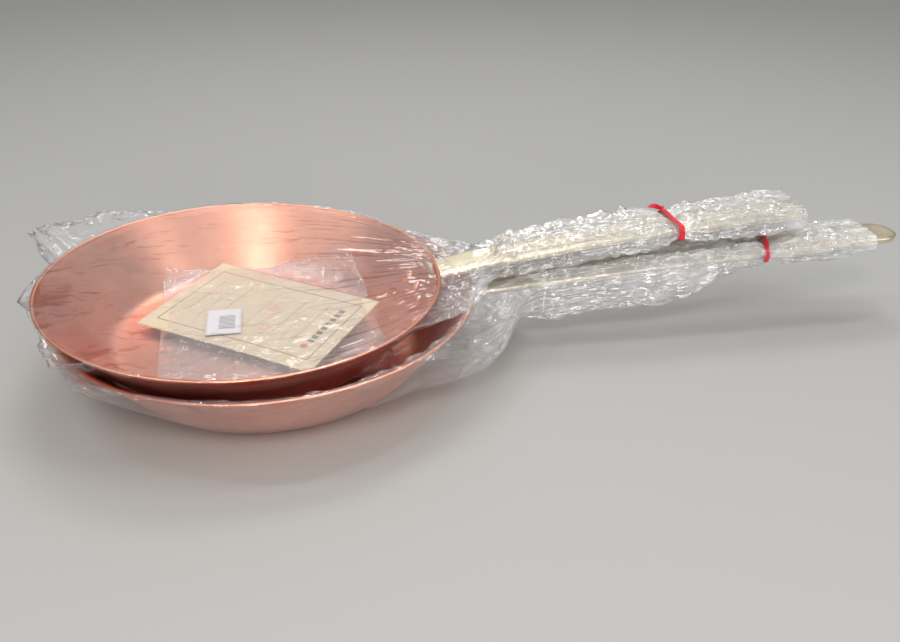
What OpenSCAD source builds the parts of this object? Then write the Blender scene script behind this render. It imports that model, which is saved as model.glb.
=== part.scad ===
// Two copper frying pans, one nested in the other, each in a clear film bag that is
// gathered along its brass handle and tied with a red twist tie. Millimetres, +Z up.
// The origin is the middle of the lower pan's base, and its handle runs along +X.

/* [Lower pan] */
// Diameter over the lower pan's rim
lower_rim_d = 280; // [270:1:340]
// Height of the lower pan
lower_h = 51; // [45:1:60]
// Length of the lower handle from the rim to its tip
lower_handle_l = 330; // [260:1:400]

/* [Upper pan] */
// Diameter over the upper pan's rim
upper_rim_d = 265; // [215:1:268]
// Height of the upper pan
upper_h = 48; // [40:1:52]
// Length of the upper handle from the rim to its tip
upper_handle_l = 281; // [230:1:340]
// Height of the upper pan's rim above the lower pan's rim, at its middle
upper_rise = 14.5; // [14:0.5:40]
// Level gap at the back between the upper bag and the lower pan's wall
pan_gap = 0.9; // [0.6:0.1:4]
// How far the upper pan lies to the right of the lower handle's line
upper_aside = 1; // [0:0.5:3]
// Angle between the two handles, seen from above
upper_turn = 2; // [0:0.5:6]
// How far the upper pan dips towards its handle, in degrees
upper_dip = 2.4; // [0:0.1:3]
// How far the upper pan dips towards the front, in degrees
upper_lean = 1.3; // [0:0.1:2]

/* [Copper] */
// Thickness of the copper
wall = 2; // [1.2:0.1:3]
// Angle of the wall from upright
wall_lean = 39.4; // [30:0.1:42]
// Outside radius of the corner between base and wall
corner_r = 14; // [8:0.5:20]

/* [Handles and rivets] */
// Thickness of a handle
handle_t = 5; // [3:0.1:7]
// Width of a handle at its root
root_w = 26; // [20:0.5:32]
// Width of a handle near its tip
tip_w = 32; // [24:0.5:40]
// Width of the flange riveted to the wall
flange_w = 62; // [54:1:76]
// Height of the flange
flange_h = 26; // [24:1:32]
// Thickness of the flange
flange_t = 4; // [3:0.5:6]
// Depth of the flange's top edge below the rim
flange_drop = 4; // [2:0.5:8]
// Radius of a rivet's shank
rivet_r = 2.5; // [2:0.1:4]
// Radius of a rivet's head
rivet_head_r = 5.5; // [4.5:0.1:7]
// Height of a rivet's head
rivet_head_h = 2.2; // [1:0.1:4]
// Distance between rivets
rivet_pitch = 20; // [16:0.5:24]

/* [Film bags and ties] */
// Thickness of the film as modelled
film_t = 0.25; // [0.2:0.05:0.5]
// Gap between the film and what it covers
film_gap = 0.3; // [0.2:0.05:0.5]
// Sag of the upper bag's top sheet at its middle
top_sag = 6; // [2:0.5:12]
// Depth that the lower bag folds in over its rim
fold_in = 12; // [6:1:20]
// Room between a gathered sleeve and its handle
sleeve_room = 1.2; // [0.8:0.1:3]
// Height that the lower bag hangs below its handle
skirt_drop = 18; // [4:1:24]
// Bare handle beyond the lower sleeve
lower_bare = 26; // [10:1:60]
// Bare handle beyond the upper sleeve
upper_bare = 8; // [5:1:60]
// Distance from the lower tie to the lower handle's tip
lower_tie_back = 106; // [60:1:180]
// Distance from the upper tie to the upper handle's tip
upper_tie_back = 106; // [60:1:180]
// Angle of the lower tie across its handle, its near side turned toward the pan
lower_tie_skew = 20; // [0:1:25]
// Width of a tie
tie_w = 4; // [3:0.5:6]
// Thickness of a tie
tie_t = 0.7; // [0.6:0.1:1.2]
// Width of the wire in a tie
tie_wire_w = 0.6; // [0.4:0.1:1]

/* [Card and sleeve] */
// Width of the card
card_w = 99; // [80:1:101]
// Length of the card
card_l = 140; // [110:1:142]
// Thickness of the card
card_t = 0.4; // [0.3:0.1:1]
// Angle of the card on the pan's base
card_turn = -32.5; // [-45:0.5:-20]
// Least height of the card's corners above the copper
card_clear = 2.3; // [1.8:0.1:5]
// Width of the clear sleeve
sleeve_w = 140; // [120:1:170]
// Length of the clear sleeve
sleeve_l = 186; // [150:1:230]
// Angle of the clear sleeve
sleeve_turn = 12; // [0:1:30]
// Length of the label on the sleeve
label_l = 33; // [20:1:40]
// Width of the label on the sleeve
label_w = 24; // [15:1:30]
// Thickness of the label
label_t = 0.15; // [0.1:0.05:0.4]

/* [Hidden] */
$fn = 96;

lower_r = lower_rim_d / 2;
upper_r = upper_rim_d / 2;

// How far the upper pan lies back from its handle: until the foot of its wall rests
// against the lower pan's wall, with the gap between them
upper_foot = upper_r - upper_h * tan(wall_lean);
upper_foot_z = upper_rise + upper_foot * sin(upper_dip) - upper_h * cos(upper_dip);
upper_back = lower_r + upper_foot_z * tan(wall_lean) - (wall + film_gap + film_t) / cos(wall_lean)
    - pan_gap - upper_foot * cos(upper_dip) - upper_h * sin(upper_dip);

// Card's middle from the upper pan's axis, and its two slopes on the base
card_at = [6.8, 15];
card_slope = [1.0, 1.8];
// Height of the copper inside a pan at distance q from its axis
function inside_z(r, h, q) =
    max(wall, h - (r - wall / cos(wall_lean) - q) / tan(wall_lean));
// The card's corners from its middle, and the height at which all of them clear the wall
card_corners = [for (x = [-1, 1], y = [-1, 1]) [
    x * card_l / 2 * cos(card_turn) - y * card_w / 2 * sin(card_turn),
    x * card_l / 2 * sin(card_turn) + y * card_w / 2 * cos(card_turn)]];
card_rise = max([for (c = card_corners) inside_z(upper_r, upper_h, norm(card_at + c))
    - c[0] * tan(card_slope[0]) - c[1] * tan(card_slope[1])]) - wall + card_clear + card_t / 2;
// Clear sleeve's middle and label's middle from the upper pan's axis
sleeve_at = [8, 2];
label_at = [-21, 13];
label_turn = 2;
// Space between the card and each sheet of its sleeve
card_play = 0.5;
// Gap between the card's sleeve and the copper around it
sleeve_edge_gap = 1.5;

// Handle lines seen from the side: how far the root's top lies under the rim, then how far
// the line climbs from there to its knee and to its tip
lower_climb = [7, 12.5, 21.5];
upper_climb = [3, 28, 38];
knee_share = 0.46;
handle_steps = 18;
// Depth of the handle's root inside the wall before it is trimmed to the cone
root_in = 10;
// Groove depth for the wire as a share of the tie's thickness
groove_share = 0.5;
// Half width of a bag's neck where it leaves the rim, as a share of the rim's radius
neck_share = 0.56;
// Length of the neck from the rim to where the film closes on the handle
neck_l = 52;
// Straight cone kept above and below the wall for trimming
trim_over = 10;
eps = 0.01;

// ---- Shapes shared by both pans ----

// Radius of the outer wall line at height z, for a pan of rim radius r and height h
function wall_r(r, h, z) = r - (h - z) * tan(wall_lean);

// Distance from the corner's sharp point to where its round starts
function corner_run(cr) = cr * tan((90 - wall_lean) / 2);

// Points of a pan's side: base edge, round corner and wall, moved outward by off
function side_points(r, h, off, cr, top) = let (
    rr = cr + off,
    c = wall_r(r, h, 0) - corner_run(cr),
    n = 12,
    up = h + top)
    concat(
        [for (i = [0:n]) let (a = (90 - wall_lean) * i / n)
            [c + rr * sin(a), cr - rr * cos(a)]],
        [[wall_r(r, h, up) + off / cos(wall_lean), up]]);

// Solid of everything inside a pan's side when it is moved outward by off
module side_solid(r, h, off, top = 0) {
    low = -off;
    rotate_extrude()
        polygon(concat([[0, low]], side_points(r, h, off, corner_r, top), [[0, h + top]]));
}

module pan_shell(r, h) {
    difference() {
        side_solid(r, h, 0);
        side_solid(r, h, -wall, 1);
        for (i = [-1:1]) rivet_axis(r, h, i)
            cylinder(r = rivet_r, h = 4 * wall, center = true, $fn = 32);
    }
}

// Height of the rivet row above the base
function rivet_z(h) = h - flange_drop - flange_h * 0.58;

// Places its children on rivet i, with +Z pointing out of the wall
module rivet_axis(r, h, i) {
    z = rivet_z(h);
    turn = i * rivet_pitch / wall_r(r, h, z) * 180 / PI;
    rotate([0, 0, turn]) translate([wall_r(r, h, z), 0, z]) rotate([0, 90 + wall_lean, 0])
        children();
}

module dome(r, h) {
    ball = (r * r + h * h) / (2 * h);
    intersection() {
        translate([0, 0, h - ball]) sphere(r = ball, $fn = 48);
        cylinder(r = r, h = h, $fn = 48);
    }
}

module rivet(r, h, i) {
    seat = 0.15;
    color("peru") rivet_axis(r, h, i) {
        cylinder(r = rivet_r, h = wall + flange_t, center = false, $fn = 32);
        translate([0, 0, -wall]) cylinder(r = rivet_r, h = wall + eps, $fn = 32);
        translate([0, 0, flange_t - seat]) dome(rivet_head_r, rivet_head_h);
        translate([0, 0, seat - wall]) mirror([0, 0, 1]) dome(rivet_head_r, rivet_head_h);
    }
}

// ---- Handles ----

// Points of a quadratic curve from a by b to c
function curve(a, b, c, n) = [for (i = [0:n]) let (t = i / n)
    (1 - t) * (1 - t) * a + 2 * t * (1 - t) * b + t * t * c];

// Top line of a handle seen from the side, from inside the wall to the tip
function handle_line(r, h, l, climb) = let (
    root_z = h - climb[0])
    curve([r - root_in, root_z], [r + knee_share * l, root_z + climb[1]],
        [r + l, root_z + climb[2]], handle_steps);

// Height of a handle's top at x
function line_z(pts, x) = lookup(x, pts);

// Half width of a handle at x
function half_w(r, l, x) = (root_w + (tip_w - root_w) * (x - r) / l) / 2;

module handle_bar(r, h, l, climb) {
    pts = handle_line(r, h, l, climb);
    under = [for (i = [handle_steps:-1:0]) pts[i] - [0, handle_t]];
    tip_r = tip_w / 2;
    intersection() {
        rotate([90, 0, 0]) linear_extrude(height = 2 * tip_w, center = true)
            polygon(concat(pts, under));
        linear_extrude(height = h + climb[2]) {
            polygon([[r - root_in, -root_w / 2], [r + l - tip_r, -tip_r],
                [r + l - tip_r, tip_r], [r - root_in, root_w / 2]]);
            translate([r + l - tip_r, 0]) circle(r = tip_r, $fn = 64);
        }
    }
}

module handle_flange(r, h) {
    low = h - flange_drop - flange_h;
    round_r = 7;
    intersection() {
        side_solid(r, h, flange_t);
        translate([r - 2 * flange_w, 0, low]) rotate([90, 0, 90])
            linear_extrude(height = 3 * flange_w) {
                for (s = [-1, 1], t = [round_r, flange_h - round_r])
                    translate([s * (flange_w / 2 - round_r), t]) circle(r = round_r, $fn = 48);
                translate([-flange_w / 2 + round_r, 0])
                    square([flange_w - 2 * round_r, flange_h]);
                translate([-flange_w / 2, round_r])
                    square([flange_w, flange_h - 2 * round_r]);
            }
        translate([0, -flange_w, 0]) cube([2 * r, 2 * flange_w, 2 * h]);
    }
}

module handle(r, h, l, climb) {
    difference() {
        union() {
            handle_flange(r, h);
            handle_bar(r, h, l, climb);
        }
        side_solid(r, h, 0, trim_over);
        for (i = [-1:1]) rivet_axis(r, h, i)
            cylinder(r = rivet_r, h = 3 * flange_t, center = true, $fn = 32);
    }
}

// ---- Film ----

// Radius of the wall line at height z when it is moved outward by off
function off_r(r, h, off, z) = wall_r(r, h, z) + off / cos(wall_lean);

// Skin of film around a pan's wall, left open around its handle and under its base,
// and folded in over the rim where fold is above zero
module wall_skin(r, h, fold) {
    low = 1;
    notch = flange_w / 2 + 2;
    cap = film_gap + film_t;
    over = fold <= 0 ? [] : [
        [off_r(r, h, -wall - cap, h + cap), h + cap],
        [off_r(r, h, -wall - cap, h - fold), h - fold],
        [off_r(r, h, -wall - film_gap, h - fold), h - fold],
        [off_r(r, h, -wall - film_gap, h + film_gap), h + film_gap]];
    outer = side_points(r, h, cap, corner_r, cap);
    inner = side_points(r, h, film_gap, corner_r, fold > 0 ? film_gap : cap);
    difference() {
        rotate_extrude() polygon(concat(outer, over,
            [for (i = [len(inner) - 1:-1:0]) inner[i]]));
        cylinder(r = 2 * r, h = 2 * low, center = true);
        translate([0, -notch, -eps]) cube([2 * r, 2 * notch, 2 * h]);
    }
}

// Sheet of film across a pan's mouth, resting on the rim and sagging in the middle
module top_sheet(r, h) {
    z = h + film_gap;
    lip = 6;
    n = 10;
    bowl = [for (i = [0:n]) let (t = i / n) [(r - lip) * t, z - top_sag * (1 - t * t)]];
    rotate_extrude() polygon(concat(
        bowl, [[r, z], [r, z + film_t]],
        [for (i = [n:-1:0]) bowl[i] + [0, film_t]]));
}

// How square a gathered sleeve's section is: 1 is round and 0 is a sharp box
boxy = 0.15;

// Signed power, for a rounded box section
function bend(v, p) = sign(v) * pow(abs(v), p);

// One ring of a gathered sleeve at x: a rounded box from low to high
function sleeve_ring(x, w, low, high, sides) = [for (i = [0:sides - 1]) let (a = 360 * i / sides)
    [x, w * bend(cos(a), boxy), (low + high) / 2 + (high - low) / 2 * bend(sin(a), boxy)]];

// One ring of the neck where it leaves the rim, wrapped around the rim's circle
function neck_ring(r, w, low, high, sides) = [for (i = [0:sides - 1])
    let (a = 360 * i / sides, y = w * bend(cos(a), 0.7))
    [sqrt(r * r - y * y), y, (low + high) / 2 + (high - low) / 2 * bend(sin(a), 0.7)]];

function mix(a, b, t) = [for (i = [0:len(a) - 1]) a[i] * (1 - t) + b[i] * t];

// All rings of a neck and sleeve, drawn in by inset for its inner face
function sleeve_rings(r, h, l, climb, neck_low, drop, bare, inset) = let (
    pts = handle_line(r, h, l, climb),
    sides = 24,
    room = sleeve_room - inset,
    end = r + l - bare,
    start = r + neck_l,
    skirt_end = r + l * 0.62,
    root = neck_ring(r + film_gap + film_t + 0.4, r * neck_share - inset,
        h + neck_low + inset, h + 2 - inset, sides),
    close = sleeve_ring(start, half_w(r, l, start) + room, line_z(pts, start) - handle_t - room
        - drop, line_z(pts, start) + room, sides),
    run = [for (i = [1:12]) let (x = start + (end - start) * i / 12,
        hang = drop * max(0, 1 - pow(max(0, x - start) / (skirt_end - start), 3)))
        sleeve_ring(x, half_w(r, l, x) + room, line_z(pts, x) - handle_t - room - hang,
            line_z(pts, x) + room, sides)])
    concat([for (t = [0:0.25:1]) mix(root, close, t)], run);

// Closed thin tube between an outer and an inner list of rings
module ring_tube(outer, inner) {
    n = len(outer);
    m = len(outer[0]);
    pts = concat([for (g = outer) each g], [for (g = inner) each g]);
    o = function (k, i) k * m + i % m;
    q = function (k, i) n * m + k * m + i % m;
    polyhedron(points = pts, faces = concat(
        [for (k = [0:n - 2], i = [0:m - 1]) each
            [[o(k, i), o(k + 1, i), o(k + 1, i + 1)], [o(k, i), o(k + 1, i + 1), o(k, i + 1)]]],
        [for (k = [0:n - 2], i = [0:m - 1]) each
            [[q(k, i), q(k + 1, i + 1), q(k + 1, i)], [q(k, i), q(k, i + 1), q(k + 1, i + 1)]]],
        [for (i = [0:m - 1]) each
            [[o(0, i), o(0, i + 1), q(0, i + 1)], [o(0, i), q(0, i + 1), q(0, i)]]],
        [for (i = [0:m - 1]) each
            [[o(n - 1, i), q(n - 1, i + 1), o(n - 1, i + 1)],
                [o(n - 1, i), q(n - 1, i), q(n - 1, i + 1)]]]), convexity = 6);
}

module bag_sleeve(r, h, l, climb, neck_low, drop, bare) {
    ring_tube(sleeve_rings(r, h, l, climb, neck_low, drop, bare, 0),
        sleeve_rings(r, h, l, climb, neck_low, drop, bare, film_t));
}

// ---- Ties ----

module rounded_box(w, t, r) {
    hull() for (x = [-1, 1], y = [-1, 1])
        translate([x * (w / 2 - r), y * (t / 2 - r)]) circle(r = r, $fn = 32);
}

// Outline of a ring around a handle's sleeve, between two distances from the sleeve
module tie_outline(w, t, from, to) {
    corner = 2;
    difference() {
        rounded_box(w + 2 * to, t + 2 * to, corner + to);
        rounded_box(w + 2 * from, t + 2 * from, corner + from);
    }
}

// Places its children at a tie, with the handle's length along their Z axis
module tie_place(r, h, l, climb, back, skew) {
    x = r + l - back;
    z = line_z(handle_line(r, h, l, climb), x) - handle_t / 2;
    translate([x, 0, z]) rotate([0, 0, -skew]) rotate([90, 0, 90]) children();
}

// Distance from a sleeve to its tie, and play around the wire in its groove
tie_gap = 0.1;
wire_play = 0.02;

// Size of the sleeve at a tie, made wider where the tie runs askew
function tie_size(r, l, back, skew) = [
    (2 * half_w(r, l, r + l - back) + 2 * sleeve_room) / cos(skew) + 2 * tie_w * tan(skew),
    handle_t + 2 * sleeve_room + 1.2];

module tie_band(r, l, back, skew) {
    s = tie_size(r, l, back, skew);
    out = tie_gap + tie_t;
    tail_l = 8;
    difference() {
        union() {
            linear_extrude(height = tie_w, center = true) tie_outline(s[0], s[1], tie_gap, out);
            for (k = [0, 1]) translate([s[0] / 2 - tail_l - 3 * k, s[1] / 2 + out, 0])
                rotate([0, 0, 10 + 14 * k]) translate([0, -tie_t, -tie_w / 2])
                    cube([tail_l, tie_t, tie_w]);
        }
        linear_extrude(height = tie_wire_w + 2 * wire_play, center = true)
            tie_outline(s[0], s[1], out - tie_t * groove_share, out + wire_play);
    }
}

module tie_core(r, l, back, skew) {
    s = tie_size(r, l, back, skew);
    out = tie_gap + tie_t;
    linear_extrude(height = tie_wire_w, center = true)
        tie_outline(s[0], s[1], out - tie_t * groove_share + wire_play, out - wire_play);
}

// ---- Placing the upper pan ----

// Moves its children from the upper pan's own frame to where it lies in the lower pan
module nested() {
    translate([-upper_back, -upper_aside, lower_h + upper_rise])
        rotate([upper_lean, upper_dip, 0]) rotate([0, 0, upper_turn])
            translate([0, 0, -upper_h]) children();
}

// Moves its children onto the card's plane, lift above the card's middle
module on_card(lift) {
    translate([card_at[0], card_at[1], wall + card_rise + lift])
        rotate([card_slope[1], -card_slope[0], 0]) translate([-card_at[0], -card_at[1], 0])
            children();
}

// ---- Lower pan's pieces ----

module lower_pan_shell() {
    color("darksalmon") pan_shell(lower_r, lower_h);
}

module lower_handle() {
    color("khaki") handle(lower_r, lower_h, lower_handle_l, lower_climb);
}

module lower_bag() {
    color("white", 0.3) wall_skin(lower_r, lower_h, fold_in);
}

module lower_bag_sleeve() {
    color("white", 0.3) bag_sleeve(lower_r, lower_h, lower_handle_l, lower_climb,
        -flange_drop - flange_h - 2, skirt_drop, lower_bare);
}

module lower_tie() {
    color("crimson") tie_place(lower_r, lower_h, lower_handle_l, lower_climb,
        lower_tie_back, lower_tie_skew)
            tie_band(lower_r, lower_handle_l, lower_tie_back, lower_tie_skew);
}

module lower_tie_wire() {
    color("gray") tie_place(lower_r, lower_h, lower_handle_l, lower_climb,
        lower_tie_back, lower_tie_skew)
            tie_core(lower_r, lower_handle_l, lower_tie_back, lower_tie_skew);
}

// ---- Upper pan's pieces ----

module upper_pan_shell() {
    color("lightsalmon") nested() pan_shell(upper_r, upper_h);
}

module upper_handle() {
    color("khaki") nested() handle(upper_r, upper_h, upper_handle_l, upper_climb);
}

module upper_bag() {
    color("white", 0.3) nested() wall_skin(upper_r, upper_h, 0);
}

module upper_bag_top() {
    color("white", 0.3) nested() top_sheet(upper_r, upper_h);
}

module upper_bag_sleeve() {
    under = upper_climb[0] + handle_t + sleeve_room + film_gap;
    color("white", 0.3) nested() bag_sleeve(upper_r, upper_h, upper_handle_l, upper_climb,
        -under, 0, upper_bare);
}

module upper_tie() {
    color("crimson") nested()
        tie_place(upper_r, upper_h, upper_handle_l, upper_climb, upper_tie_back, 0)
            tie_band(upper_r, upper_handle_l, upper_tie_back, 0);
}

module upper_tie_wire() {
    color("gray") nested()
        tie_place(upper_r, upper_h, upper_handle_l, upper_climb, upper_tie_back, 0)
            tie_core(upper_r, upper_handle_l, upper_tie_back, 0);
}

// ---- Card, its clear sleeve and label ----

module card() {
    color("wheat") nested() rotate([0, 0, -upper_turn]) on_card(0)
        translate([card_at[0], card_at[1], 0]) rotate([0, 0, card_turn])
            cube([card_l, card_w, card_t], center = true);
}

// One sheet of the clear sleeve, trimmed to the inside of the pan
module sleeve_sheet(lift) {
    intersection() {
        on_card(lift) translate([sleeve_at[0], sleeve_at[1], 0]) rotate([0, 0, sleeve_turn])
            cube([sleeve_l, sleeve_w, film_t], center = true);
        side_solid(upper_r, upper_h, -wall - sleeve_edge_gap);
    }
}

module card_sleeve() {
    apart = card_t / 2 + card_play;
    color("white", 0.4) nested() rotate([0, 0, -upper_turn]) {
        sleeve_sheet(apart);
        sleeve_sheet(-apart);
    }
}

module label() {
    lift = card_t / 2 + card_play + film_t / 2 + label_t / 2;
    color("whitesmoke") nested() rotate([0, 0, -upper_turn]) on_card(lift)
        translate([label_at[0], label_at[1], 0]) rotate([0, 0, label_turn])
            cube([label_w, label_l, label_t], center = true);
}

lower_pan_shell();
lower_handle();
rivet(lower_r, lower_h, 1);  // lower_rivet_left
rivet(lower_r, lower_h, 0);  // lower_rivet_middle
rivet(lower_r, lower_h, -1);  // lower_rivet_right
lower_bag();
lower_bag_sleeve();
lower_tie();
lower_tie_wire();
upper_pan_shell();
upper_handle();
nested() rivet(upper_r, upper_h, 1);  // upper_rivet_left
nested() rivet(upper_r, upper_h, 0);  // upper_rivet_middle
nested() rivet(upper_r, upper_h, -1);  // upper_rivet_right
upper_bag();
upper_bag_top();
upper_bag_sleeve();
upper_tie();
upper_tie_wire();
card();
card_sleeve();
label();
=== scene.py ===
# Two nested copper frying pans in clear film bags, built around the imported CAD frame.
import math
import bpy
import numpy as np
from mathutils import Euler, Matrix, Vector


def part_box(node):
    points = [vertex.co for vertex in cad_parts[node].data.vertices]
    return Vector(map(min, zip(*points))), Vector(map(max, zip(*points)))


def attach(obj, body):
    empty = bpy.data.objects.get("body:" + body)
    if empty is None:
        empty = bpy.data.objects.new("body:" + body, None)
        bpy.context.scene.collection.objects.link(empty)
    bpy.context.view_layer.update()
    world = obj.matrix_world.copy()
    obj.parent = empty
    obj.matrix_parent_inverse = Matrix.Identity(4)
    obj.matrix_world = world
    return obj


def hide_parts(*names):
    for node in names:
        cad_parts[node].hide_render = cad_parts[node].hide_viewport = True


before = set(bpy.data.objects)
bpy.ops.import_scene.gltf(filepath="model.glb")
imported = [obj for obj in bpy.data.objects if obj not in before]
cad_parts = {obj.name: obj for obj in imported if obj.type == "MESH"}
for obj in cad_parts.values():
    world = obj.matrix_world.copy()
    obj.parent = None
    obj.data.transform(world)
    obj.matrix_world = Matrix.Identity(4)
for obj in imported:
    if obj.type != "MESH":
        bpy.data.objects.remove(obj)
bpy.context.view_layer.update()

MM = 0.001
rng = np.random.default_rng(11)


# ---------------------------------------------------------------- driving sizes, in metres
class Pan:
    """One pan's sizes in metres and where it lies: its own axis is +Z and its handle runs along +X.

    climb is the drop from the rim to the handle's root, then the rise from the root to the knee and
    to the tip.
    """

    def __init__(self, side, rim_r, height, handle_l, climb, matrix, body):
        self.side = side
        self.rim_r = rim_r
        self.height = height
        self.handle_l = handle_l
        self.climb = climb
        self.matrix = matrix
        self.body = body

    def wall_r(self, z):
        return self.rim_r - (self.height - z) * LEAN_TAN

    def handle_z(self, x):
        """Height of the handle's top at x, on the curve that the CAD handle follows."""
        root = self.height - self.climb[0]
        a = self.rim_r - ROOT_IN
        b = self.rim_r + KNEE * self.handle_l
        c = self.rim_r + self.handle_l
        za, zb, zc = root, root + self.climb[1], root + self.climb[2]
        p = a - 2 * b + c
        q = 2 * (b - a)
        t = (-q + np.sqrt(np.maximum(q * q - 4 * p * (a - x), 0))) / (2 * p)
        return (1 - t) ** 2 * za + 2 * t * (1 - t) * zb + t * t * zc

    def half_w(self, x):
        return (ROOT_W + (TIP_W - ROOT_W) * (x - self.rim_r) / self.handle_l) / 2


LEAN = math.radians(39.4)
LEAN_TAN = math.tan(LEAN)
WALL = 2.0 * MM
CORNER_R = 14.0 * MM
HANDLE_T = 5.0 * MM
ROOT_W, TIP_W = 26.0 * MM, 32.0 * MM
ROOT_IN = 10.0 * MM
KNEE = 0.46
FLANGE_W, FLANGE_H, FLANGE_T = 62 * MM, 26 * MM, 4 * MM
FLANGE_DROP = 4 * MM
TIE_W, TIE_T = 4.4 * MM, 0.7 * MM

# NECK_L is how far past the rim the film closes round the handle
NECK_L = 52 * MM
FLOOR_CLEAR = 0.2 * MM

# Where the card's middle lies in the upper pan, how far it stands off the metal, and its two slopes
# and its turn in degrees
CARD_L, CARD_W, CARD_T = 140 * MM, 99 * MM, 0.4 * MM
CARD_AT = (6.8 * MM, 15 * MM)
CARD_RISE = 7.455 * MM
CARD_SLOPE = (1.0, 1.8)
CARD_TURN = -32.5
LABEL_AT = (-25 * MM, -13 * MM)
LABEL_L, LABEL_W, LABEL_T = 24 * MM, 33 * MM, 0.15 * MM
POUCH_L, POUCH_W, POUCH_TURN = 150 * MM, 172 * MM, math.radians(6)

low_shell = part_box("lower_pan_shell")
LOW_R = (low_shell[1].y - low_shell[0].y) / 2
LOW_H = low_shell[1].z
LOW_HANDLE_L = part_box("lower_handle")[1].x - LOW_R

# The upper pan lies tilted in the lower one, so its own sizes aren't those of its box
UP_R, UP_H, UP_HANDLE_L = 132.5 * MM, 48 * MM, 281 * MM
UP_AT = Vector((-16.52 * MM, -1 * MM, LOW_H + 14.5 * MM))
UP_TILT = (math.radians(1.3), math.radians(2.4), 0)
UP_TURN = math.radians(2)

rim_up = Matrix.Translation((0, 0, UP_H))
rim_down = Matrix.Translation((0, 0, -UP_H))
flat_place = Matrix.Translation(UP_AT) @ Euler(UP_TILT, "XYZ").to_matrix().to_4x4() @ rim_down
up_place = flat_place @ rim_up @ Matrix.Rotation(UP_TURN, 4, "Z") @ rim_down
LOWER_CLIMB = (7 * MM, 12.5 * MM, 21.5 * MM)
UPPER_CLIMB = (3 * MM, 28 * MM, 38 * MM)
LOWER = Pan("lower", LOW_R, LOW_H, LOW_HANDLE_L, LOWER_CLIMB, Matrix.Identity(4), "lower_pan")
UPPER = Pan("upper", UP_R, UP_H, UP_HANDLE_L, UPPER_CLIMB, up_place, "upper_pan")


# ---------------------------------------------------------------- camera, floor and light
FLOOR = 4.0


def make_camera():
    """The photo's camera, fitted to both rims, the lower base and the card."""
    cam = bpy.data.cameras.new("camera")
    cam.sensor_width = 36
    cam.lens = 31.2
    cam.shift_y = 0.0067
    cam.clip_start = 0.01
    ob = bpy.data.objects.new("camera", cam)
    bpy.context.scene.collection.objects.link(ob)
    ob.location = (0.0392, -0.4986, 0.2896)
    yaw, pitch = math.radians(9.659), math.radians(-28.911)
    ob.rotation_euler = (math.pi / 2 + pitch, 0, -yaw)
    bpy.context.scene.camera = ob


def area_light(name, at, target, size, power, color, size_y):
    """A rectangular light at one point, aimed at another; power is in watts."""
    li = bpy.data.lights.new(name, "AREA")
    li.energy = power
    li.color = color
    li.size = size
    li.shape = "RECTANGLE"
    li.size_y = size_y
    ob = bpy.data.objects.new(name, li)
    bpy.context.scene.collection.objects.link(ob)
    ob.location = at
    ob.rotation_euler = (Vector(target) - Vector(at)).to_track_quat("-Z", "Y").to_euler()


def make_stage():
    """A plain grey floor, the room and its lamps."""
    me = bpy.data.meshes.new("floor")
    me.from_pydata([(-FLOOR, -FLOOR, 0), (FLOOR, -FLOOR, 0), (FLOOR, FLOOR, 0), (-FLOOR, FLOOR, 0)],
                   [], [(0, 1, 2, 3)])
    floor = bpy.data.objects.new("floor", me)
    bpy.context.scene.collection.objects.link(floor)
    mat = bpy.data.materials.new("floor")
    mat.use_nodes = True
    b = mat.node_tree.nodes["Principled BSDF"]
    b.inputs["Base Color"].default_value = (0.40, 0.402, 0.396, 1)
    b.inputs["Roughness"].default_value = 0.75
    floor.data.materials.append(mat)
    bpy.context.scene.world = studio_world()
    bpy.context.scene.view_settings.view_transform = "Standard"
    area_light("back_light", (0.25, 0.95, 1.75), (0.1, 0, 0), 0.8, 8.6, (1, 0.98, 0.95), 0.45)
    area_light("front_light", (-0.10, -0.86, 0.98), (0, 0.05, 0), 0.42, 4.6, (1, 0.96, 0.90), 0.30)
    area_light("fill_light", (0.15, -1.35, 0.34), (0.1, 0, 0.03), 0.9, 9, (1, 0.96, 0.93), 0.25)
    for k, x in enumerate((-0.7, 0.35)):
        area_light(f"ceiling_{k}", (x, 0.1, 1.6), (x * 0.4, 0, 0), 0.07, 2.6, (1, 1, 1), 0.5)
    area_light("side_light", (1.2, -0.5, 0.9), (0.25, 0, 0.05), 0.25, 2.6, (0.95, 0.97, 1), 0.5)


def studio_world():
    """A pale room: bright overhead, dimmer and a little patchy towards the horizon."""
    world = bpy.data.worlds.new("studio")
    world.use_nodes = True
    tree = world.node_tree
    back = tree.nodes["Background"]
    tc = tree.nodes.new("ShaderNodeTexCoord")
    sep = tree.nodes.new("ShaderNodeSeparateXYZ")
    tree.links.new(tc.outputs["Generated"], sep.inputs[0])
    patch = tree.nodes.new("ShaderNodeTexNoise")
    patch.inputs["Scale"].default_value = 1.7
    patch.inputs["Detail"].default_value = 1
    tree.links.new(tc.outputs["Generated"], patch.inputs["Vector"])
    shift = tree.nodes.new("ShaderNodeMath")
    shift.operation = "MULTIPLY_ADD"
    shift.inputs[1].default_value = 1.3
    tree.links.new(patch.outputs[0], shift.inputs[0])
    tree.links.new(sep.outputs[2], shift.inputs[2])
    ramp = tree.nodes.new("ShaderNodeValToRGB")
    span = 1.6
    stops = ((0.50, 0.40), (0.85, 0.13), (1.10, 0.18), (1.34, 0.95), (1.5, 1.0))
    while len(ramp.color_ramp.elements) < len(stops):
        ramp.color_ramp.elements.new(0.5)
    for el, (at, level) in zip(ramp.color_ramp.elements, stops):
        el.position = at / span
        el.color = (level, level * 0.985, level * 0.96, 1)
    scale = tree.nodes.new("ShaderNodeMath")
    scale.operation = "MULTIPLY"
    scale.inputs[1].default_value = 1 / span
    tree.links.new(shift.outputs[0], scale.inputs[0])
    tree.links.new(scale.outputs[0], ramp.inputs[0])
    tree.links.new(ramp.outputs[0], back.inputs[0])
    back.inputs[1].default_value = 0.78
    return world


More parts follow.
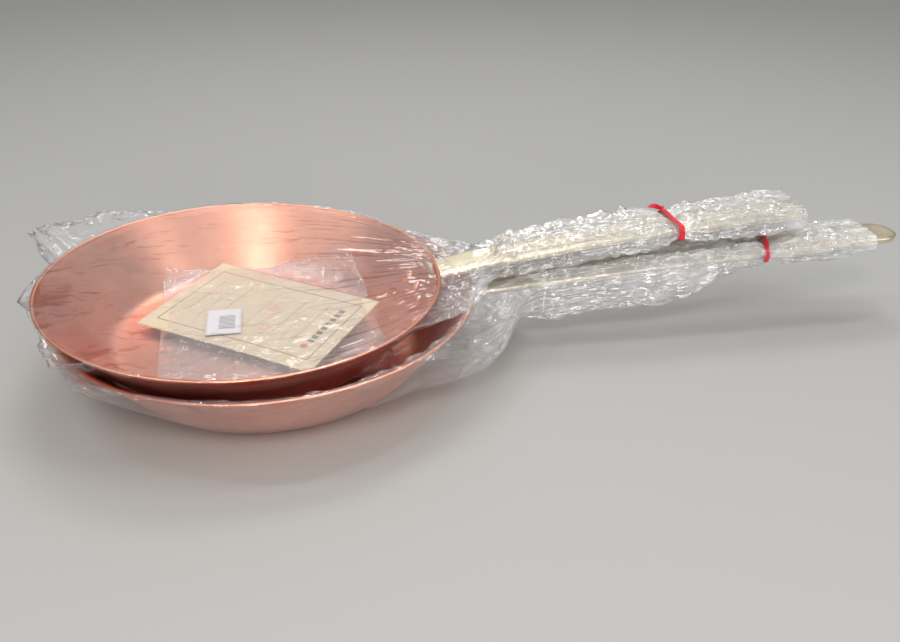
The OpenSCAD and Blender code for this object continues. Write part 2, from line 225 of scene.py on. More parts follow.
# ---------------------------------------------------------------- material helpers
class Nodes:
    """A short way to build one material's node tree, in a piece's own frame."""

    def __init__(self, name, own=Matrix.Identity(4)):
        self.own = own
        self.mat = bpy.data.materials.new(name)
        self.mat.use_nodes = True
        self.tree = self.mat.node_tree
        self.bsdf = self.tree.nodes["Principled BSDF"]
        self.out = self.tree.nodes["Material Output"]

    def add(self, kind, **settings):
        n = self.tree.nodes.new(kind)
        for key, value in settings.items():
            setattr(n, key, value)
        return n

    def link(self, a, b):
        self.tree.links.new(a, b)

    def math(self, op, a, b=0.0, c=0.0):
        n = self.add("ShaderNodeMath", operation=op)
        for i, v in enumerate((a, b, c)):
            if isinstance(v, (int, float)):
                n.inputs[i].default_value = v
            else:
                self.link(v, n.inputs[i])
        return n.outputs[0]

    def place(self, scale=None):
        """Position in the piece's own frame, stretched by scale along its axes."""
        tc = self.add("ShaderNodeTexCoord")
        mp = self.add("ShaderNodeMapping", vector_type="TEXTURE")
        mp.inputs["Location"].default_value = self.own.to_translation()
        mp.inputs["Rotation"].default_value = self.own.to_euler("XYZ")
        self.link(tc.outputs["Object"], mp.inputs["Vector"])
        if scale is None:
            return mp.outputs[0]
        st = self.add("ShaderNodeMapping")
        st.inputs["Scale"].default_value = scale
        self.link(mp.outputs[0], st.inputs["Vector"])
        return st.outputs[0]

    def noise(self, vector, scale, detail=3, rough=0.5, dist=0.0):
        n = self.add("ShaderNodeTexNoise")
        n.inputs["Scale"].default_value = scale
        n.inputs["Detail"].default_value = detail
        n.inputs["Roughness"].default_value = rough
        n.inputs["Distortion"].default_value = dist
        self.link(vector, n.inputs["Vector"])
        return n.outputs[0]

    def ramp(self, fac, *stops):
        n = self.add("ShaderNodeValToRGB")
        e = n.color_ramp.elements
        while len(e) < len(stops):
            e.new(0.5)
        for el, (pos, col) in zip(e, stops):
            el.position = pos
            el.color = (*col, 1) if len(col) == 3 else col
        self.link(fac, n.inputs[0])
        return n.outputs[0]

    def span(self, v, a, b, c, d):
        """Carries v from the range a to b over to the range c to d, and holds it there."""
        n = self.add("ShaderNodeMapRange")
        for i, x in enumerate((a, b, c, d)):
            n.inputs[i + 1].default_value = x
        self.link(v, n.inputs[0])
        return n.outputs[0]

    def mix(self, fac, a, b):
        n = self.add("ShaderNodeMixRGB", blend_type="MIX")
        for i, v in enumerate((fac, a, b)):
            if hasattr(v, "is_linked"):
                self.link(v, n.inputs[i])
            else:
                n.inputs[i].default_value = v if i == 0 else (*v, 1)
        return n.outputs[0]

    def bump(self, height, strength, distance, normal=None):
        n = self.add("ShaderNodeBump")
        n.inputs["Strength"].default_value = strength
        n.inputs["Distance"].default_value = distance
        self.link(height, n.inputs["Height"])
        if normal is not None:
            self.link(normal, n.inputs["Normal"])
        return n.outputs[0]


def copper_material(pan):
    """Satin spun copper: rings round the axis, soft blotches, a base painted darker to stand in for the
    dark reflection it shows, small scuffs.

    The upper pan's downward faces are painted redder, standing in for the red light bounced between the two
    pans in the gap.
    """
    m = Nodes(f"{pan.side}_copper", pan.matrix)
    v = m.place()
    sep = m.add("ShaderNodeSeparateXYZ")
    m.link(v, sep.inputs[0])
    r2 = m.math("ADD", m.math("MULTIPLY", sep.outputs[0], sep.outputs[0]),
                m.math("MULTIPLY", sep.outputs[1], sep.outputs[1]))
    ring = m.add("ShaderNodeCombineXYZ")
    m.link(m.math("ADD", m.math("SQRT", r2), m.math("MULTIPLY", sep.outputs[2], 0.8)), ring.inputs[0])
    rings = m.noise(ring.outputs[0], 700, 2, 0.6)
    broad_rings = m.noise(ring.outputs[0], 110, 2, 0.5)
    blot = m.noise(v, 14, 4, 0.6)
    fine = m.noise(v, 160, 3, 0.6)
    base = m.ramp(blot, (0.30, (0.84, 0.34, 0.225)), (0.55, (0.91, 0.41, 0.28)),
                  (0.80, (0.95, 0.48, 0.345)))
    base = m.mix(m.span(broad_rings, 0.35, 0.65, 0.16, 0.0), base, (0.72, 0.27, 0.17))
    # painted reflection: the base is darkened to stand in for the dark surroundings it reflects
    painted_dark_base = m.math("MULTIPLY", m.span(m.math("SQRT", r2), 0.080, 0.088, 1.0, 0.0),
                  m.span(sep.outputs[2], 0.003, 0.005, 0.55, 0.0))
    base = m.mix(painted_dark_base, base, (0.56, 0.25, 0.17))
    # painted reflection: faces pointing down on the upper pan are reddened to stand in for the red light
    # bounced in the gap between the pans
    if pan is UPPER:
        face = m.add("ShaderNodeSeparateXYZ")
        m.link(m.add("ShaderNodeNewGeometry").outputs["Normal"], face.inputs[0])
        base = m.mix(m.span(face.outputs[2], -0.2, 0.0, 0.45, 0.0), base, (0.93, 0.20, 0.10))
    m.link(base, m.bsdf.inputs["Base Color"])
    m.bsdf.inputs["Metallic"].default_value = 1
    m.link(m.span(m.math("ADD", m.math("MULTIPLY", fine, 0.5), m.math("MULTIPLY", blot, 0.5)),
                  0.3, 0.7, 0.32, 0.44), m.bsdf.inputs["Roughness"])
    m.bsdf.inputs["Anisotropic"].default_value = 0.50
    m.bsdf.inputs["Anisotropic Rotation"].default_value = 0.25
    tangent = m.add("ShaderNodeTangent", direction_type="RADIAL", axis="Z")
    m.link(tangent.outputs[0], m.bsdf.inputs["Tangent"])
    m.link(m.bump(rings, 0.12, 0.0004, m.bump(fine, 0.05, 0.0005)), m.bsdf.inputs["Normal"])
    return m.mat


def brass_material(pan):
    """Pale cast brass, linished along its length, with a darker skin in the pits."""
    m = Nodes(f"{pan.side}_brass", pan.matrix)
    v = m.place()
    pit = m.noise(v, 260, 4, 0.65)
    blot = m.noise(v, 30, 4, 0.6)
    lines = m.noise(m.place((6, 260, 260)), 8, 3, 0.6)
    base = m.ramp(blot, (0.3, (0.77, 0.67, 0.48)), (0.6, (0.85, 0.77, 0.60)), (0.85, (0.90, 0.84, 0.70)))
    m.link(m.mix(m.span(pit, 0.25, 0.42, 0.5, 0.0), base, (0.40, 0.30, 0.14)), m.bsdf.inputs["Base Color"])
    m.bsdf.inputs["Metallic"].default_value = 1
    m.link(m.span(blot, 0.3, 0.7, 0.34, 0.48), m.bsdf.inputs["Roughness"])
    m.link(m.bump(lines, 0.12, 0.0005, m.bump(pit, 0.25, 0.0006)), m.bsdf.inputs["Normal"])
    return m.mat


# ---------------------------------------------------------------- mesh helpers
def new_object(name, verts, faces, mat, place=Matrix.Identity(4)):
    """A smooth-shaded mesh object, its points moved from the piece's own frame to the shared one."""
    me = bpy.data.meshes.new(name)
    me.from_pydata([tuple(map(float, v)) for v in verts], [], [tuple(map(int, f)) for f in faces])
    me.transform(place)
    me.update()
    me.polygons.foreach_set("use_smooth", [True] * len(me.polygons))
    ob = bpy.data.objects.new(name, me)
    bpy.context.scene.collection.objects.link(ob)
    me.materials.append(mat)
    return ob


def grid_faces(rows, cols, close_cols=False, base=0):
    """Four-sided faces over a grid of points numbered row by row from base."""
    out = []
    for i in range(rows - 1):
        for j in range(cols - (0 if close_cols else 1)):
            a, b = base + i * cols + j, base + i * cols + (j + 1) % cols
            out.append((a, b, b + cols, a + cols))
    return out


def pan_mesh(pan, mat):
    """A spun shell with a round corner, a softly rounded lip and true thickness."""
    turn = math.pi / 2 - LEAN
    run = CORNER_R * math.tan(turn / 2)
    c = pan.wall_r(0) - run

    def side(off):
        """One face's profile from the axis to the rim, off outside the shell's outer face."""
        rr = CORNER_R + off
        pts = [(c * k, -off) for k in np.linspace(0, 1, 24)[:-1]]
        pts += [(c + rr * math.sin(a), CORNER_R - rr * math.cos(a)) for a in np.linspace(0, turn, 12)]
        last, top = pts[-1], (pan.rim_r + off / math.cos(LEAN), pan.height)
        return pts + [(last[0] + (top[0] - last[0]) * k, last[1] + (top[1] - last[1]) * k)
                      for k in np.linspace(0, 1, 22)[1:]]

    outer, inner = side(0), side(-WALL)
    lip = 0.55 * MM
    o, i = outer[-1], inner[-1]
    rim = [(o[0] - lip * LEAN_TAN * 0.4, o[1] - lip), (o[0] - lip * 0.5, o[1] - lip * 0.15),
           ((o[0] + i[0]) / 2, o[1]), (i[0] + lip * 0.5, i[1] - lip * 0.15), (i[0] + lip * 0.1, i[1] - lip)]
    prof = outer[:-1] + rim + inner[-2::-1]
    seg = 288
    ang = np.arange(seg) * 2 * math.pi / seg
    verts = []
    for r, z in prof[1:-1]:
        verts += [(r * math.cos(a), r * math.sin(a), z) for a in ang]
    rows = len(prof) - 2
    faces = grid_faces(rows, seg, close_cols=True)
    verts += [(0, 0, prof[0][1]), (0, 0, prof[-1][1])]
    n = rows * seg
    faces += [(n, (j + 1) % seg, j) for j in range(seg)]
    faces += [(n + 1, n - seg + j, n - seg + (j + 1) % seg) for j in range(seg)]
    ob = new_object(f"{pan.side}_pan", verts, [f[::-1] for f in faces], mat, pan.matrix)
    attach(ob, pan.body)
    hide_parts(f"{pan.side}_pan_shell")


# ---------------------------------------------------------------- handles
def handle_mesh(pan, mat):
    """A flat cast bar with rounded edges and tip, and its flange on the wall."""
    rows, cols = 150, 40
    x0, x1 = pan.rim_r - ROOT_IN + 3 * MM, pan.rim_r + pan.handle_l
    tip = TIP_W / 2
    t = np.linspace(0, 1, rows)
    xs = x0 + (x1 - x0) * np.sin(t * math.pi / 2) ** 0.9
    wide = pan.half_w(xs)
    over = np.clip((xs - (x1 - tip)) / tip, 0, 1)
    wide = wide * np.sqrt(np.maximum(1 - over ** 2, 0.0004))
    thick = HANDLE_T / 2 * np.sqrt(np.maximum(1 - over ** 10, 0.0)) + 0.02 * MM
    th = np.arange(cols) * 2 * math.pi / cols
    c, s = np.cos(th), np.sin(th)
    edge = 0.30
    yy = np.sign(c) * np.abs(c) ** edge
    zz = np.sign(s) * np.abs(s) ** edge
    mid = pan.handle_z(xs) - HANDLE_T / 2
    crown = 1 - 0.12 * np.abs(yy) ** 3
    p = np.stack([xs[:, None] + 0 * yy, wide[:, None] * yy, mid[:, None] + thick[:, None] * zz * crown], -1)
    verts = list(p.reshape(-1, 3))
    faces = [f[::-1] for f in grid_faces(rows, cols, close_cols=True)]
    n = len(verts)
    verts += [(xs[0], 0, mid[0]), (x1, 0, mid[-1])]
    faces += [(n, j, (j + 1) % cols) for j in range(cols)]
    faces += [(n + 1, n - cols + (j + 1) % cols, n - cols + j) for j in range(cols)]

    rings, spokes = 14, 72
    base = len(verts)
    z_mid = pan.height - FLANGE_DROP - FLANGE_H / 2
    ang = np.arange(spokes) * 2 * math.pi / spokes
    ca, sa = np.cos(ang), np.sin(ang)
    reach = (np.abs(ca) ** 5 + np.abs(sa) ** 5) ** (-1 / 5)

    def on_cone(u, v, off):
        """The point at u, v (each -1 to 1) of the flange, off outwards from the wall."""
        z = z_mid + v * FLANGE_H / 2
        r = pan.wall_r(z)
        a = u * FLANGE_W / 2 / r
        return ((r + off * math.cos(LEAN)) * math.cos(a), (r + off * math.cos(LEAN)) * math.sin(a),
                z - off * math.sin(LEAN))

    for k in range(rings + 1):
        r = math.sin(math.pi / 2 * k / rings)
        off = (FLANGE_T - 0.15 * MM) * (1 - r ** 12) ** 0.5 + 0.1 * MM
        verts += [on_cone(r * q * x, r * q * y, off) for q, x, y in zip(reach, ca, sa)]
    faces += grid_faces(rings + 1, spokes, close_cols=True, base=base)
    ob = new_object(f"{pan.side}_cast_handle", verts, faces, mat, pan.matrix)
    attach(ob, pan.body)
    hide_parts(f"{pan.side}_handle")


# ---------------------------------------------------------------- ties
def ribbon(points, sides, width, thick):
    """A flat band swept along points; sides are the directions across its width."""
    p, s = np.array(points), np.array(sides)
    s = s / np.linalg.norm(s, axis=1, keepdims=True)
    t = np.gradient(p, axis=0)
    n = np.cross(t, s)
    n /= np.linalg.norm(n, axis=1, keepdims=True)
    shape = [(a * 0.5, b * 0.5) for a, b in
             ((-1, -0.6), (-0.9, -1), (-0.3, -0.8), (0.3, -0.8), (0.9, -1), (1, -0.6),
              (1, 0.6), (0.9, 1), (0.3, 0.8), (-0.3, 0.8), (-0.9, 1), (-1, 0.6))]
    verts = [p[i] + s[i] * a * width + n[i] * b * thick for i in range(len(p)) for a, b in shape]
    faces = grid_faces(len(p), len(shape), close_cols=True)
    k = len(shape)
    faces += [tuple(range(k))[::-1], tuple(range((len(p) - 1) * k, len(p) * k))]
    return verts, faces


def tie_object(bag, skew, mat):
    """A flat tie drawn tight round the gathered sleeve, its two ends twisted and left standing."""
    pan = bag.pan
    x = pan.rim_r + pan.handle_l - bag.tie_back
    a, b = pan.half_w(x) + 4.4 * MM, HANDLE_T / 2 + 3.6 * MM
    mid = float(pan.handle_z(np.array(x))) - HANDLE_T / 2
    pts, sides = [], []
    turns = np.linspace(0.30 * math.pi, 2.28 * math.pi, 110)
    for i, th in enumerate(turns):
        c, s = math.cos(th), math.sin(th)
        y = a * math.copysign(abs(c) ** 0.55, c)
        z = b * math.copysign(abs(s) ** 0.55, s)
        wave = 0.35 * MM * math.sin(5 * th + x * 50)
        off = 0.4 * MM * i / len(turns)
        pts.append((x + y * math.tan(skew) + wave, y * (1 + off / a), mid + z + off))
        sides.append((1, math.tan(skew) + 0.25 * math.sin(3 * th), 0.12 * math.sin(2 * th)))
    verts, faces = ribbon(pts, sides, TIE_W, TIE_T)
    root = Vector(pts[-1])
    for k, (dx, dy, dz, length) in enumerate(((-0.55, 0.75, 0.42, 13 * MM), (0.35, 0.9, 0.30, 10 * MM))):
        steps = 14
        d = Vector((dx, dy, dz)).normalized()
        tail, across = [], []
        for i in range(steps):
            q = i / (steps - 1)
            twist = (1 - q) * 2.6 + k
            bend = Vector((0, 0, -5 * MM * q * q))
            tail.append(root + d * length * q + bend)
            side = Vector((math.cos(twist), 0, math.sin(twist)))
            across.append(side - d * side.dot(d))
        v2, f2 = ribbon([tuple(t) for t in tail], [tuple(c) for c in across], TIE_W * 0.9, TIE_T)
        faces += [tuple(i + len(verts) for i in f) for f in f2]
        verts = list(verts) + list(v2)
    ob = new_object(f"{pan.side}_red_tie", verts, faces, mat, pan.matrix)
    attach(ob, pan.body)
    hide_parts(f"{pan.side}_tie", f"{pan.side}_tie_wire")


# ---------------------------------------------------------------- card, its sleeve and label
def two_sheet_faces(nx, ny):
    """Faces of an upper and a lower grid of nx by ny points, joined round their edges."""
    n = nx * ny
    faces = [f[::-1] for f in grid_faces(nx, ny)] + grid_faces(nx, ny, base=n)
    ring = ([(i, 0) for i in range(nx)] + [(nx - 1, j) for j in range(1, ny)]
            + [(i, ny - 1) for i in range(nx - 2, -1, -1)] + [(0, j) for j in range(ny - 2, 0, -1)])
    ids = [i * ny + j for i, j in ring]
    return faces + [(a, b, b + n, a + n) for a, b in zip(ids, ids[1:] + ids[:1])]


def slab(name, size, cells, lift, mat, place):
    """A thin sheet with real thickness; lift(x, y) bends it out of flat."""
    w, l, t = size
    nx, ny = cells
    xs, ys = np.linspace(-w / 2, w / 2, nx), np.linspace(-l / 2, l / 2, ny)
    gx, gy = np.meshgrid(xs, ys, indexing="ij")
    top = np.stack([gx, gy, lift(gx, gy) + t / 2], -1).reshape(-1, 3)
    low = top - np.array([0, 0, t])
    return new_object(name, list(top) + list(low), two_sheet_faces(nx, ny), mat, place)


def card_curl(x, y):
    """Height of the card's surface off its plane: one pair of corners up, and a slight wave."""
    return 0.9 * MM * (x / (CARD_L / 2)) ** 2 * (y / (CARD_W / 2)) + 0.25 * MM * np.sin(x / (22 * MM))


def inside_mask(m, x, y, half_x, half_y):
    """1 inside a rectangle about the origin of x and y, else 0."""
    a = m.math("LESS_THAN", m.math("ABSOLUTE", x), half_x)
    return m.math("MULTIPLY", a, m.math("LESS_THAN", m.math("ABSOLUTE", y), half_y))


def card_material():
    """Cream laid paper with a thin printed border, plain dashes and red spots."""
    m = Nodes("card_paper", card_plane(0) @ CARD_SPIN)
    v = m.place()
    sep = m.add("ShaderNodeSeparateXYZ")
    m.link(v, sep.inputs[0])
    x, y = sep.outputs[0], sep.outputs[1]
    fibre = m.noise(v, 700, 4, 0.7)
    blot = m.noise(v, 35, 3, 0.6)
    paper = m.mix(m.span(blot, 0.3, 0.7, 0, 1), (0.76, 0.64, 0.42), (0.82, 0.71, 0.49))
    paper = m.mix(m.span(fibre, 0.35, 0.65, 0.10, 0.0), paper, (0.62, 0.50, 0.32))
    ink = (0.10, 0.075, 0.06)
    outer = inside_mask(m, x, y, 61.5 * MM, 38.5 * MM)
    inner = inside_mask(m, x, y, 60.7 * MM, 37.7 * MM)
    border = m.math("SUBTRACT", outer, inner)
    paper = m.mix(m.math("MULTIPLY", border, 0.9), paper, ink)

    def dashes(at, pitch, mark, wide, reach, shift, colour, strength, base):
        """One column of equal dashes, centred on x = at and running along y.

        mark is the inked share of each pitch.
        """
        dx = m.math("SUBTRACT", x, at)
        run = m.math("SUBTRACT", y, shift)
        beat = m.math("FRACT", m.math("MULTIPLY", run, 1 / pitch))
        on = m.math("LESS_THAN", beat, mark)
        on = m.math("MULTIPLY", on, inside_mask(m, dx, run, wide / 2, reach / 2))
        return m.mix(m.math("MULTIPLY", on, strength), base, colour)

    paper = dashes(52 * MM, 6.2 * MM, 0.70, 4.6 * MM, 46 * MM, 4 * MM, ink, 0.90, paper)
    rows = ((40, 50, 2), (31, 34, -6), (22, 46, 4), (10, 40, 0),
            (-2, 52, 3), (-26, 48, 2), (-38, 30, -8), (-50, 44, 4))
    red_rows = (1, 3, 4)
    for i, (at, reach, shift) in enumerate(rows):
        colour, strength = ((0.55, 0.16, 0.10), 0.34) if i in red_rows else (ink, 0.42)
        paper = dashes(at * MM, (3.1 + 0.3 * (i % 3)) * MM, 0.55, 2.0 * MM, reach * MM, shift * MM,
                       colour, strength, paper)
    for ax, ay, size, strength in ((51, -25, 2.6, 0.85), (4, 8, 5.0, 0.25), (14, -16, 4.5, 0.22)):
        dx, dy = m.math("SUBTRACT", x, ax * MM), m.math("SUBTRACT", y, ay * MM)
        d = m.math("SQRT", m.math("ADD", m.math("MULTIPLY", dx, dx), m.math("MULTIPLY", dy, dy)))
        spot = m.math("LESS_THAN", d, size * MM)
        paper = m.mix(m.math("MULTIPLY", spot, strength), paper, (0.72, 0.07, 0.04))
    m.link(paper, m.bsdf.inputs["Base Color"])
    m.bsdf.inputs["Roughness"].default_value = 0.62
    m.link(m.bump(fibre, 0.15, 0.0002), m.bsdf.inputs["Normal"])
    return m.mat


def label_material():
    """White gummed paper with one small block of plain upright bars."""
    m = Nodes("label_paper", LABEL_PLACE)
    v = m.place()
    sep = m.add("ShaderNodeSeparateXYZ")
    m.link(v, sep.inputs[0])
    x, y = sep.outputs[0], sep.outputs[1]
    fibre = m.noise(v, 600, 3, 0.6)
    paper = m.mix(m.span(fibre, 0.3, 0.7, 0.0, 0.3), (0.78, 0.78, 0.84), (0.70, 0.70, 0.77))
    bars = m.math("LESS_THAN", m.math("FRACT", m.math("MULTIPLY", y, 1 / (1.7 * MM))), 0.55)
    block = inside_mask(m, m.math("SUBTRACT", x, 2 * MM), m.math("SUBTRACT", y, -1 * MM),
                        5.5 * MM, 8.5 * MM)
    paper = m.mix(m.math("MULTIPLY", m.math("MULTIPLY", bars, block), 0.8), paper, (0.10, 0.10, 0.14))
    m.link(paper, m.bsdf.inputs["Base Color"])
    m.bsdf.inputs["Roughness"].default_value = 0.45
    m.link(m.bump(fibre, 0.1, 0.0002), m.bsdf.inputs["Normal"])
    return m.mat


def tie_material():
    """Red plastic, a little shiny and slightly uneven."""
    m = Nodes("red_tie")
    v = m.place()
    cloud = m.noise(v, 220, 3, 0.6)
    red = m.ramp(cloud, (0.3, (0.52, 0.005, 0.02)), (0.7, (0.78, 0.012, 0.035)))
    m.link(red, m.bsdf.inputs["Base Color"])
    m.bsdf.inputs["Roughness"].default_value = 0.32
    m.bsdf.inputs["Specular IOR Level"].default_value = 0.6
    m.link(m.bump(cloud, 0.3, 0.0008), m.bsdf.inputs["Normal"])
    return m.mat


def card_plane(lift):
    """Places a flat piece on the card's plane, lift above the card's middle."""
    at = Matrix.Translation((CARD_AT[0], CARD_AT[1], WALL + CARD_RISE + lift))
    tilt = Euler((math.radians(CARD_SLOPE[1]), -math.radians(CARD_SLOPE[0]), 0), "XYZ").to_matrix().to_4x4()
    return flat_place @ at @ tilt


def blur(z, times):
    """A grid of heights, each point averaged with its four neighbours, times over."""
    for _ in range(times):
        q = np.pad(z, 1, mode="edge")
        z = (q[1:-1, 1:-1] * 4 + q[:-2, 1:-1] + q[2:, 1:-1] + q[1:-1, :-2] + q[1:-1, 2:]) / 8
    return z


def sleeve_object(mat):
    """The card's clear pouch: a lower sheet on the copper and an upper one draped over the card."""
    nx, ny = 150, 122
    u, v = np.meshgrid(np.linspace(-1, 1, nx), np.linspace(-1, 1, ny), indexing="ij")
    gx, gy = u * POUCH_L / 2, v * POUCH_W / 2
    x = 13 * MM + gx * math.cos(POUCH_TURN) - gy * math.sin(POUCH_TURN)
    y = 8 * MM + gx * math.sin(POUCH_TURN) + gy * math.cos(POUCH_TURN)
    rho = np.hypot(x, y)
    limit = 112 * MM
    pull = np.where(rho > limit, limit / np.maximum(rho, 1e-9), 1.0)
    x, y = x * pull, y * pull
    rho = np.hypot(x, y)
    bed = inner_z(UPPER, rho)
    dx, dy = x - CARD_AT[0], y - CARD_AT[1]
    ct, st = math.cos(math.radians(CARD_TURN)), math.sin(math.radians(CARD_TURN))
    cx, cy = dx * ct + dy * st, -dx * st + dy * ct
    slope_x, slope_y = (math.tan(math.radians(a)) for a in CARD_SLOPE)
    plane = WALL + CARD_RISE + dx * slope_x + dy * slope_y
    plane = plane + card_curl(cx, cy) * (np.abs(cx) < CARD_L / 2) * (np.abs(cy) < CARD_W / 2)
    off = np.maximum(np.abs(cx) - CARD_L / 2, np.abs(cy) - CARD_W / 2)
    over = plane + 0.6 * MM - np.maximum(off, 0) * 0.75
    top = np.maximum(bed + 2.0 * MM, over)
    top = np.maximum(blur(top, 14), top)
    wrinkle = creases(x / 0.040, y / 0.040, 0, 61, 3) * 2.2 * MM
    rays = creases(np.arctan2(y + 0.02, x + 0.01) * 3.2, rho / 0.09, 0.5, 66, 2) * 1.0 * MM
    fine = creases(x / 0.009, y / 0.009, 0.3, 71, 2) * 0.35 * MM
    ease = 1 - np.maximum(np.abs(u), np.abs(v)) ** 24
    from_label = (cx - LABEL_AT[0]) ** 2 + (cy - LABEL_AT[1]) ** 2
    flat = 1 - 0.85 * np.exp(-from_label / (24 * MM) ** 2)
    top = top + (np.abs(wrinkle) + np.abs(rays) + np.abs(fine)) * ease * flat
    low = np.minimum(bed + 0.5 * MM, plane - 0.9 * MM)
    edge = ease[..., None]
    top_p = np.stack([x, y, top], -1)
    low_p = np.stack([x, y, low], -1)
    top_p = top_p * edge + (low_p + np.array([0, 0, 0.7 * MM])) * (1 - edge)
    verts = list(top_p.reshape(-1, 3)) + list(low_p.reshape(-1, 3))
    ob = new_object("card_pouch", verts, two_sheet_faces(nx, ny), mat, flat_place)
    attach(ob, "card")
    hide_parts("card_sleeve")


# ---------------------------------------------------------------- film
def noise3(x, y, z, seed=0):
    """Smooth gradient noise, about -0.7 to 0.7, on arrays of points."""
    x, y, z = np.broadcast_arrays(x, y, z)
    cell = [np.floor(c).astype(np.int64) for c in (x, y, z)]
    frac = [c - f for c, f in zip((x, y, z), cell)]
    ease = [f * f * f * (f * (f * 6 - 15) + 10) for f in frac]
    total = 0
    for corner in range(8):
        d = [(corner >> k) & 1 for k in range(3)]
        h = ((cell[0] + d[0]) * 73856093 ^ (cell[1] + d[1]) * 19349663 ^ (cell[2] + d[2]) * 83492791
             ^ seed * 2654435) & 1023
        g = GRADIENTS[h]
        dot = sum(g[..., k] * (frac[k] - d[k]) for k in range(3))
        weight = 1
        for k in range(3):
            weight = weight * (ease[k] if d[k] else 1 - ease[k])
        total = total + weight * dot
    return total


def creases(x, y, z, seed=0, steps=3):
    """Crumpled film: sharp folds at several scales, about -0.5 to 0.5."""
    total, scale, size = 0, 1.0, 1.0
    for i in range(steps):
        n = np.abs(noise3(x * scale, y * scale, z * scale, seed + i))
        total = total + size * (n - 0.17) * (1 if i % 2 else -1)
        scale *= 2.1
        size *= 0.5
    return total * 1.6


def smooth(a, b, x):
    """A soft step from 0 at a to 1 at b."""
    t = np.clip((x - a) / (b - a), 0, 1)
    return t * t * (3 - 2 * t)


def bump_at(x, middle, width):
    """A soft hump, 1 at its middle."""
    return np.exp(-((x - middle) / width) ** 2)


def grid_normals(p):
    """Outward normals of a grid of points, rows along the bag and columns round it."""
    du = np.gradient(p, axis=0)
    dv = (np.roll(p, -1, axis=1) - np.roll(p, 1, axis=1)) / 2
    n = np.cross(dv, du)
    return n / np.maximum(np.linalg.norm(n, axis=-1, keepdims=True), 1e-12)


class Bag:
    """What sets one bag's shape.

    over_mouth says whether a sheet closes the pan's mouth. tip_bare and tie_back are how far the
    sleeve's end and the tie stand back from the handle's tip, and puff is how far the gathered film
    stands off the handle. necks are the angles from the handle at which the film leaves the rim on
    the left and right. hang is the film's lowest height along x, and ears are (angle, half width,
    reach, rise) of corners that stand out past the rim.
    """

    def __init__(self, pan, over_mouth, hang, tip_bare, tie_back, puff, necks, ears, seed):
        self.pan = pan
        self.over_mouth = over_mouth
        self.hang = hang
        self.tip_bare = tip_bare
        self.tie_back = tie_back
        self.puff = puff
        self.neck_left, self.neck_right = necks
        self.ears = ears
        self.seed = seed


def outer_z(pan, rho):
    """Height of the shell's outside at distance rho from its axis, its corner rounded."""
    z = pan.height - (pan.rim_r - rho) / LEAN_TAN
    k = 5 * MM
    return k * np.logaddexp(0, z / k)


def inner_z(pan, rho):
    """Height of the shell's inside at distance rho from its axis, its corner rounded."""
    z = pan.height - (pan.rim_r - WALL / math.cos(LEAN) - rho) / LEAN_TAN
    k = 4 * MM
    return WALL + k * np.logaddexp(0, (z - WALL) / k)


